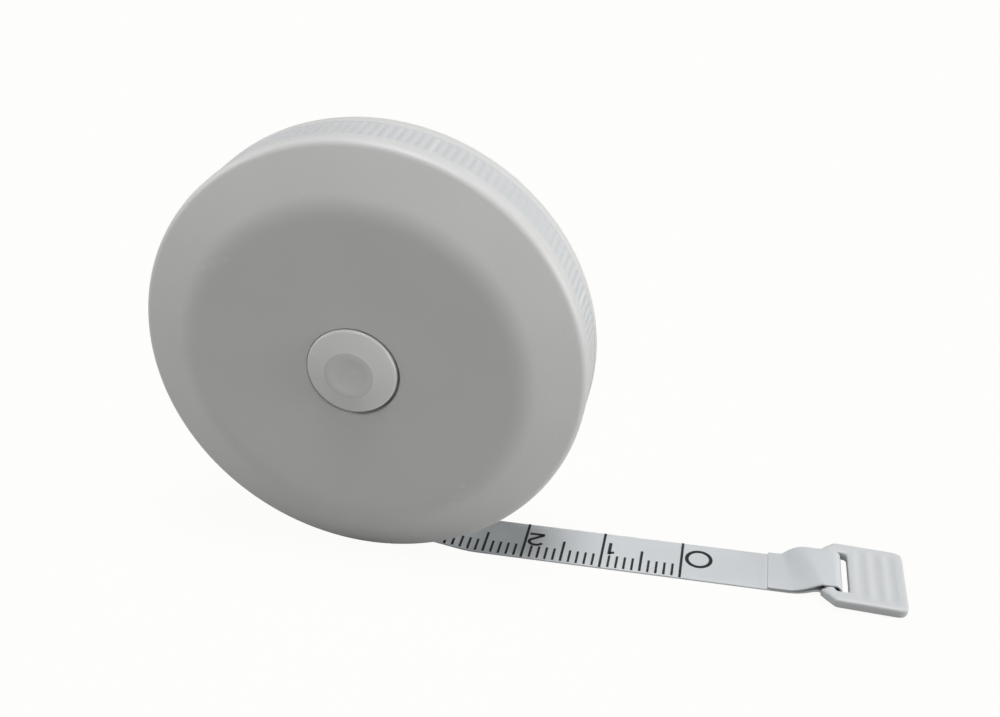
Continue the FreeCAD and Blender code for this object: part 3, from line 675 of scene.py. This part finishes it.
def rib_shape(spot, angle):
    radius, y = spot
    if radius < LINER_OUTER + 0.1:
        return radius, y
    wave = 0.5 - 0.5 * math.cos(angle * RIB_COUNT)
    fade = min(1.0, (BAND_EDGE - abs(y)) / RIB_FADE)
    return radius - RIB_DEPTH * wave ** RIB_SHARPNESS * max(0.0, fade), y


def build_rim_band():
    edge = BAND_EDGE - BAND_GAP
    rim = RADIUS - BAND_SINK
    across = [(rim, -edge + 2 * edge * step / BAND_STEPS) for step in range(BAND_STEPS + 1)]
    near = [(LINER_INNER, LINER_REACH), (LINER_INNER, -LINER_REACH), (LINER_OUTER, -LINER_REACH),
            (LINER_OUTER, -edge)]
    far = [(LINER_OUTER, edge), (LINER_OUTER, LINER_REACH)]
    mesh = lathe_mesh("rim_grip", [Vector(spot) for spot in near + across + far],
                      RIB_COUNT * RIB_STEPS, rib_shape)
    piece = finish_mesh("rim_grip", mesh, BAND_WHITE, 50.0)
    cut_away(piece, CUTTER)
    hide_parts("rim_band")
    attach(piece, "case")
    return piece


BAND = build_rim_band()
remove_piece(CUTTER)
print("rim band:", len(BAND.data.vertices), "points")

# %% [markdown]
# ## The button
# The button is a small hollow cup. Its top is slightly domed with a shallow dish in the middle for the
# finger, and its edge is a wide crown. It has a little play in its hole and rests to one side of it, so the
# gap is a crescent: hardly there on the left, and a dark line on the right.

# %% Push button
BUTTON_RADIUS = 5.47
BUTTON_PLAY = Vector((-0.12, 0.0, 0.1))
BUTTON_CENTRE = 0.02
DISH_DEPTH = 0.22
# The top from the dish outwards: radius, drop below the highest ring, and the soft corner's reach and steps.
BUTTON_TOP = [(1.5, 0.21, 0.6, 4), (2.6, 0.0, 0.7, 8), (3.8, 0.34, 0.9, 8), (BUTTON_RADIUS, 1.05, 0.45, 8)]
FLANGE_RADIUS = 6.55
FLANGE_THICK = 0.7
FLANGE_GAP = 0.06
SKIRT_OUTER, SKIRT_INNER, SKIRT_END = 5.0, 4.1, -3.2
TOP_THICK = 1.5
STEM_RADIUS, STEM_END, STEM_ROUND = 1.9, -2.0, (0.2, 3)
BUTTON_SEGMENTS = 192


def build_button():
    top = (BUTTON_LOW.y - AXIS.y) / MM
    flange = -INNER_FACE + FLANGE_GAP
    section = [(BUTTON_CENTRE, top + DISH_DEPTH)]
    section += [(radius, top + drop, reach, steps) for radius, drop, reach, steps in BUTTON_TOP]
    section += [
        (BUTTON_RADIUS, flange), (FLANGE_RADIUS, flange), (FLANGE_RADIUS, flange + FLANGE_THICK),
        (SKIRT_OUTER, flange + FLANGE_THICK), (SKIRT_OUTER, SKIRT_END), (SKIRT_INNER, SKIRT_END),
        (SKIRT_INNER, top + TOP_THICK), (STEM_RADIUS, top + TOP_THICK),
        (STEM_RADIUS, STEM_END, *STEM_ROUND), (BUTTON_CENTRE, STEM_END),
    ]
    mesh = lathe_mesh("release_button", soften(section), BUTTON_SEGMENTS)
    mesh.transform(Matrix.Translation(BUTTON_PLAY * MM))
    piece = finish_mesh("release_button", mesh, BUTTON_WHITE, 40.0)
    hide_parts("push_button")
    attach(piece, "button")
    return piece


BUTTON = build_button()
print("button:", len(BUTTON.data.vertices), "points, top at y", round(BUTTON_LOW.y / MM, 2))

# %% [markdown]
# ## The ribbon
# The ribbon is a long flat strip, so its whole shape is one line seen from the side, given a width. The line
# leaves the slot on a slope, bends to the table and runs along it flat. One function gives its height at any
# place, so the print can follow the same surface.

# %% The line of the ribbon
TABLE_LINE = FLOOR + TAPE_THICK / 2
BEND_RADIUS = 15.0 * MM
FALL = MOUTH.z - TABLE_LINE
CORNER_X = MOUTH.x + FALL / math.tan(SLOPE)
BEND_REACH = BEND_RADIUS * math.tan(SLOPE / 2)


def ribbon_height(x):
    """Height of the middle of the ribbon's thickness."""
    if x < CORNER_X - BEND_REACH:
        return MOUTH.z - (x - MOUTH.x) * math.tan(SLOPE)
    if x < CORNER_X + BEND_REACH:
        short = CORNER_X + BEND_REACH - x
        return TABLE_LINE + BEND_RADIUS - math.sqrt(BEND_RADIUS ** 2 - short ** 2)
    return TABLE_LINE


EDGE_SHARE = 0.9
RIBBON_SHARP_ANGLE = 50.0
RIBBON_STEP = 0.5 * MM
SLOPE_STEP = 0.01 * MM


def ribbon_mesh(name, line, half_width, half_thick, cross_steps=8):
    """A strip along a line of points with rounded long edges. line holds (place, up) pairs."""
    edge = half_thick * EDGE_SHARE
    section = []
    for step in range(cross_steps + 1):
        section.append((-half_width + edge + 2 * (half_width - edge) * step / cross_steps, half_thick))
    for angle in (60, 30, 0, -30, -60):
        turn = math.radians(angle)
        section.append((half_width - edge + edge * math.cos(turn), half_thick * math.sin(turn)))
    for step in range(cross_steps + 1):
        section.append((half_width - edge - 2 * (half_width - edge) * step / cross_steps, -half_thick))
    for angle in (240, 210, 180, 150, 120):
        turn = math.radians(angle)
        section.append((-half_width + edge + edge * math.cos(turn), half_thick * math.sin(turn)))
    count = len(section)
    points, faces = [], []
    for place, up in line:
        for across, height in section:
            points.append(place + up * height + Vector((0, across, 0)))
    for row in range(len(line) - 1):
        for index in range(count):
            after = (index + 1) % count
            faces.append((row * count + index, row * count + after,
                          (row + 1) * count + after, (row + 1) * count + index))
    faces.append(tuple(range(count)))
    last = (len(line) - 1) * count
    faces.append(tuple(last + index for index in reversed(range(count))))
    mesh = bpy.data.meshes.new(name)
    mesh.from_pydata(points, [], faces)
    return mesh


def strip_line(start_x, end_x, spacing):
    count = max(2, int((end_x - start_x) / spacing))
    line = []
    for step in range(count + 1):
        x = start_x + (end_x - start_x) * step / count
        rise = (ribbon_height(x + SLOPE_STEP) - ribbon_height(x - SLOPE_STEP)) / (2 * SLOPE_STEP)
        line.append((Vector((x, AXIS.y, ribbon_height(x))), Vector((-rise, 0, 1)).normalized()))
    return line


def tuck_away(piece):
    """Gives the piece its own copy of its mesh."""
    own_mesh(piece)


def build_strip():
    line = strip_line(MOUTH.x, STRIP_HIGH.x, RIBBON_STEP)
    mesh = ribbon_mesh("ribbon_outside", line, TAPE_HALF, TAPE_THICK / 2)
    piece = finish_mesh("ribbon_outside", mesh, RIBBON, RIBBON_SHARP_ANGLE)
    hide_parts("tape_strip")
    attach(piece, "tape")
    tuck_away(piece)
    return piece


STRIP = build_strip()
print("ribbon outside:", round((STRIP_HIGH.x - MOUTH.x) / MM, 1), "mm,", len(STRIP.data.vertices), "points")

# %% [markdown]
# ## The ribbon's spare length
# When the tape is pulled out, more ribbon follows from the reel. A short plain piece inside the slot stands
# for it.

# %% Spare ribbon in the slot
SPARE_BEHIND = 1.5 * MM
SPARE_AHEAD = 0.5 * MM
SPARE_INSET = 0.02 * MM


def build_spare():
    line = strip_line(MOUTH.x - SPARE_BEHIND, MOUTH.x + SPARE_AHEAD, RIBBON_STEP)
    mesh = ribbon_mesh("ribbon_spare", line, TAPE_HALF - SPARE_INSET, TAPE_THICK / 2 - SPARE_INSET, 2)
    piece = finish_mesh("ribbon_spare", mesh, RIBBON, RIBBON_SHARP_ANGLE)
    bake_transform(piece)
    return piece


SPARE = build_spare()
print("spare ribbon:", len(SPARE.data.vertices), "points")

# %% [markdown]
# ## The printed scale
# The print is a film of ink on the ribbon. A texture would do for one view, but small raised strips are
# sharper and survive any export. Every line is a stroke that starts at the near edge, and a numeral is one or
# two strokes of even width along a few points. The numerals read from the far side of the ribbon, and zero is
# towards the free end.

# %% Ink strokes
INK_LIFT = 0.015 * MM
INK_FILM = 1.6 * INK_LIFT
ZERO_X = 39.3 * MM
TICK_WIDTH = 0.3
NEAR_EDGE = -TAPE_HALF / MM


def ink_point(x, y):
    """A place on top of the ribbon. x is in metres, y in millimetres from the middle of the ribbon."""
    return Vector((x, AXIS.y + y * MM, ribbon_height(x) + TAPE_THICK / 2 + INK_LIFT))


def add_stroke(build, path, width, closed=False):
    """A flat band of even width along a path of (x, y) in millimetres, x measured from the zero line."""
    count = len(path)
    rows = []
    for index, spot in enumerate(path):
        before = Vector(path[index - 1] if closed or index else spot)
        after = Vector(path[(index + 1) % count] if closed or index < count - 1 else spot)
        direction = (after - before).normalized()
        side = Vector((-direction.y, direction.x)) * width / 2
        left, right = Vector(spot) + side, Vector(spot) - side
        rows.append([build.verts.new(ink_point(ZERO_X + place.x * MM, place.y)) for place in (left, right)])
    pairs = list(zip(rows, rows[1:])) + ([(rows[-1], rows[0])] if closed else [])
    for (left, right), (next_left, next_right) in pairs:
        build.faces.new((left, right, next_right, next_left))


def solid_ink(build, name):
    """Turn flat strokes into a film with a thickness."""
    result = bmesh.ops.extrude_face_region(build, geom=build.faces[:])
    moved = [item for item in result["geom"] if isinstance(item, bmesh.types.BMVert)]
    bmesh.ops.translate(build, vec=Vector((0, 0, -INK_FILM)), verts=moved)
    bmesh.ops.recalc_face_normals(build, faces=build.faces)
    mesh = bpy.data.meshes.new(name)
    build.to_mesh(mesh)
    build.free()
    mesh.materials.append(INK)
    piece = bpy.data.objects.new(name, mesh)
    bpy.context.collection.objects.link(piece)
    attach(piece, "tape")
    tuck_away(piece)
    return piece


# %% Lines of the scale
TICK_LENGTH = 2.35
HALF_LENGTH = 4.0
TICK_INSET = 0.2
FULL_INSET = 0.05
BOLD = 1.1


def build_lines():
    build = bmesh.new()
    last = int((ZERO_X - MOUTH.x) / MM)
    for tick in range(last):
        start = NEAR_EDGE + TICK_INSET
        end = start + (TICK_LENGTH if tick % 5 else HALF_LENGTH)
        if tick % 10 == 0:
            start, end = NEAR_EDGE + FULL_INSET, -NEAR_EDGE - FULL_INSET
        width = TICK_WIDTH * (1.0 if tick % 5 else BOLD)
        path = [(-tick, start + (end - start) * step / 2) for step in range(3)]
        add_stroke(build, path, width)
    return solid_ink(build, "scale_lines")


LINES = build_lines()
print("scale lines:", len(LINES.data.polygons), "faces")


# %% Numerals
def arc_points(centre, radii, first, last, steps):
    points = []
    for step in range(steps + 1):
        turn = math.radians(first + (last - first) * step / steps)
        points.append((centre[0] + radii[0] * math.cos(turn), centre[1] + radii[1] * math.sin(turn)))
    return points


NUMERALS = {
    0: [(arc_points((0, 0), (0.5, 0.5), 0, 350, 35), True)],
    1: [([(0.0, -0.5), (0.0, 0.5)], False), ([(0.03, 0.47), (-0.12, 0.36), (-0.3, 0.3)], False)],
    2: [(arc_points((0, 0.22), (0.42, 0.28), 165, -35, 14) + [(-0.42, -0.42)], False),
        ([(-0.47, -0.46), (0.48, -0.46)], False)],
    3: [(arc_points((0, 0.24), (0.36, 0.26), 150, -85, 12), False),
        (arc_points((0, -0.23), (0.42, 0.27), 85, -150, 12), False)],
}
NUMERAL_PLACE = {0: 2.15, 1: 0.9, 2: 1.35, 3: 1.35}
# Width, height, place across the ribbon and stroke of the zero and of the other numerals.
ZERO_FORM = (3.0, 3.05, 0.55, 0.46)
DIGIT_FORM = (2.05, 2.3, 0.45, 0.42)
CENTIMETRE = 10.0
MOUTH_MARGIN = 3 * MM


def build_numerals():
    build = bmesh.new()
    for value, strokes in NUMERALS.items():
        wide, tall, centre_y, stroke = DIGIT_FORM if value else ZERO_FORM
        centre_x = -CENTIMETRE * value + NUMERAL_PLACE[value]
        if ZERO_X + centre_x * MM < MOUTH.x + MOUTH_MARGIN:
            continue
        for path, closed in strokes:
            turned = [(centre_x - x * wide, centre_y - y * tall) for x, y in path]
            add_stroke(build, turned, stroke, closed)
    return solid_ink(build, "scale_numerals")


DIGITS = build_numerals()
print("numerals:", len(DIGITS.data.polygons), "faces")

# %% [markdown]
# ## The folded end
# The free end passes under the bar of the tab, comes round it and lies back on itself, where it is welded.
# It is the same strip, so the same function makes it: only the line that it follows is different.

# %% Fold
HUMP_START = 1.6 * MM
HUMP_LENGTH = 5.0 * MM
HUMP_HEIGHT = 0.75 * MM
LAP_LENGTH = 1.9 * MM
RISE_END = 5.5 * MM
TWIST = 1.3 * MM
HUMP_SKEW = 1.4
LOWER_STEPS = 30
UPPER_STEPS = 40


def hump(x):
    """How far the lower layer lifts off the table. x is the distance from the start of the fold."""
    share = max(0.0, min(1.0, (x - HUMP_START) / HUMP_LENGTH))
    return HUMP_HEIGHT * math.sin(math.pi * share ** HUMP_SKEW) ** 2


def ease(share):
    share = max(0.0, min(1.0, share))
    return share * share * (3 - 2 * share)


def fold_line():
    """Side view of the fold, from the strip to the welded end, in metres."""
    start = FOLD_LOW.x
    radius = (FOLD_HIGH.z - FLOOR - TAPE_THICK) / 2
    centre = Vector((FOLD_HIGH.x - radius - TAPE_THICK / 2, TABLE_LINE + radius))
    length = centre.x - start
    line = []
    for step in range(LOWER_STEPS):
        x = length * step / LOWER_STEPS
        line.append(Vector((start + x, TABLE_LINE + hump(x))))
    for step in range(19):
        turn = math.radians(-90 + 10 * step)
        line.append(centre + Vector((math.cos(turn), math.sin(turn))) * radius)
    for step in range(1, UPPER_STEPS + 1):
        x = length - length * step / UPPER_STEPS
        climb = ease((x - LAP_LENGTH) / (RISE_END - LAP_LENGTH))
        height = TAPE_THICK + (2 * radius - TAPE_THICK) * climb
        line.append(Vector((start + x, TABLE_LINE + max(height, hump(x) + TAPE_THICK))))
    return line


def twist_fold(mesh):
    """The far edge of the loop lifts a little sooner than the near one."""
    for point in mesh.vertices:
        share = (point.co.x - FOLD_LOW.x) / (FOLD_HIGH.x - FOLD_LOW.x)
        swell = math.sin(math.pi * max(0.0, min(1.0, share))) ** 2
        point.co.x -= TWIST * swell * (point.co.y - AXIS.y) / TAPE_HALF


def with_normals(line):
    result = []
    for index, spot in enumerate(line):
        direction = (line[min(index + 1, len(line) - 1)] - line[max(index - 1, 0)]).normalized()
        result.append((Vector((spot.x, AXIS.y, spot.y)), Vector((-direction.y, 0, direction.x))))
    return result


def build_fold():
    mesh = ribbon_mesh("ribbon_fold", with_normals(fold_line()), TAPE_HALF, TAPE_THICK / 2)
    twist_fold(mesh)
    piece = finish_mesh("ribbon_fold", mesh, RIBBON, RIBBON_SHARP_ANGLE)
    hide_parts("tape_fold")
    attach(piece, "tape_end")
    return piece


FOLD = build_fold()
print("fold:", len(FOLD.data.vertices), "points")

# %% [markdown]
# ## The pull tab
# The tab is one soft-edged moulding: a bar that the ribbon goes round, two arms, and a pad with gentle
# ripples to hold it by. It starts as a plate with a window cut out and a round rod across the opening. A
# voxel remesh melts the two together, smoothing rounds every edge as a mould would, and last the ripples
# are pressed in.

# %% Tab
TAB_TILT = 3.0
TAB_BACK = -1.2
TAB_FRONT = 9.08
TAB_HALF = 5.65
TAB_THICK = 1.36
TAB_CHAMFER = 1.8
WINDOW_END = 2.24
WINDOW_HALF = 3.8
BAR_RADIUS = 0.73
BAR_MELT = 1.6
PAD_CORNER = 1.1
WINDOW_OPEN = -3
CUTTER_THICK = 6.0
TAB_VOXEL = 0.12
SMOOTH_ROUNDS = 44


def tab_transform():
    """From the tab's own axes, in millimetres, to the frame."""
    tilt = Matrix.Rotation(math.radians(TAB_TILT), 4, "Y")
    return Matrix.Translation(BAR) @ tilt @ Matrix.Scale(MM, 4)


def tab_plan():
    """Corner points from above: slanted corners at the bar, rounded corners at the pad."""
    points = [Vector((TAB_BACK, -TAB_HALF + TAB_CHAMFER)), Vector((TAB_BACK + TAB_CHAMFER, -TAB_HALF))]
    bend = PAD_CORNER
    for centre_y, first in ((-TAB_HALF + bend, -90), (TAB_HALF - bend, 0)):
        for step in range(7):
            turn = math.radians(first + 90 * step / 6)
            reach = TAB_FRONT - bend + bend * math.cos(turn)
            points.append(Vector((reach, centre_y + bend * math.sin(turn))))
    points += [Vector((TAB_BACK + TAB_CHAMFER, TAB_HALF)), Vector((TAB_BACK, TAB_HALF - TAB_CHAMFER))]
    return points


def block(name, plan, thick):
    """A plate with the given plan."""
    mesh = bpy.data.meshes.new(name)
    count = len(plan)
    points = [(spot.x, spot.y, side * thick / 2) for side in (-1, 1) for spot in plan]
    faces = [tuple(reversed(range(count))), tuple(range(count, 2 * count))]
    faces += [(index, (index + 1) % count, count + (index + 1) % count, count + index)
              for index in range(count)]
    mesh.from_pydata(points, [], faces)
    piece = bpy.data.objects.new(name, mesh)
    bpy.context.collection.objects.link(piece)
    return piece


def bar_rod(build):
    """The round bar between the arms, a little long so that it melts into them."""
    across = Matrix.Rotation(math.pi / 2, 4, "X")
    bmesh.ops.create_cone(build, cap_ends=True, segments=32, radius1=BAR_RADIUS, radius2=BAR_RADIUS,
                          depth=2 * WINDOW_HALF + BAR_MELT, matrix=across)


# %% Ripples
RIPPLE_PITCH = 1.8
RIPPLE_DEPTH = 0.19
RIPPLE_START = 0.3
RIPPLE_FADE_IN = 0.5
RIPPLE_PHASE = 0.6
END_MARGIN = 0.6
SIDE_MARGIN = 0.7
FULL_DEPTH_HEIGHT = 0.5


def ripple(point):
    """Press soft waves into the top and bottom of the pad."""
    x, y, z = point.co
    if x < WINDOW_END + RIPPLE_START:
        return
    ends = min(1.0, max(0.0, TAB_HALF - SIDE_MARGIN - abs(y)))
    ends *= min(1.0, (x - WINDOW_END - RIPPLE_START) / RIPPLE_FADE_IN)
    ends *= min(1.0, max(0.0, (TAB_FRONT - END_MARGIN - x) / END_MARGIN))
    wave = 0.5 - 0.5 * math.cos(2 * math.pi * (x - WINDOW_END - RIPPLE_PHASE) / RIPPLE_PITCH)
    point.co.z = z - math.copysign(RIPPLE_DEPTH * wave * ends, z) * min(1.0, abs(z) / FULL_DEPTH_HEIGHT)


# %% Put the tab together
def build_tab():
    plate = block("pull_tab_moulding", tab_plan(), TAB_THICK)
    opening = [Vector(spot) for spot in ((WINDOW_OPEN, -WINDOW_HALF), (WINDOW_END, -WINDOW_HALF),
                                         (WINDOW_END, WINDOW_HALF), (WINDOW_OPEN, WINDOW_HALF))]
    window = block("window", opening, CUTTER_THICK)
    cut_away(plate, window)
    remove_piece(window)
    build = bmesh.new()
    build.from_mesh(plate.data)
    bar_rod(build)
    build.to_mesh(plate.data)
    build.free()
    remesh = plate.modifiers.new("remesh", "REMESH")
    remesh.mode = "VOXEL"
    remesh.voxel_size = TAB_VOXEL
    smooth = plate.modifiers.new("smooth", "SMOOTH")
    smooth.factor = 0.5
    smooth.iterations = SMOOTH_ROUNDS
    mesh = bpy.data.meshes.new_from_object(plate.evaluated_get(bpy.context.evaluated_depsgraph_get()))
    remove_piece(plate)
    for point in mesh.vertices:
        ripple(point)
    mesh.transform(tab_transform())
    piece = finish_mesh("pull_tab_moulding", mesh, TAB_WHITE, 60.0)
    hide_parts("pull_tab")
    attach(piece, "tab")
    return piece


TAB = build_tab()
print("tab:", len(TAB.data.vertices), "points, mm:", [round(side / MM, 2) for side in TAB_HIGH - TAB_LOW])

# %% [markdown]
# ## Pieces that stay as they are
# The inner pieces are already the right shape, and only need their finish: acetal for the reel, blued steel
# for the springs, rubber for the brake, and the same coated fabric for the ribbon that is still wound up.

# %% Finishes for the inner pieces
INNER = {
    "spindle": CASE_WHITE, "reel": REEL_WHITE, "reel_cap": REEL_WHITE, "spring_cover": REEL_WHITE,
    "tape_anchor": REEL_WHITE, "brake_disc": REEL_WHITE, "reel_washer": WASHER_GREY, "mainspring": STEEL,
    "button_spring": STEEL, "brake_ring": RUBBER_BLACK, "tape_coil": RIBBON, "tape_lead": RIBBON,
}
for node, material in INNER.items():
    piece = bpy.data.objects[node]
    for place in piece.material_slots:
        place.material = material
print("inner pieces:", len(INNER))
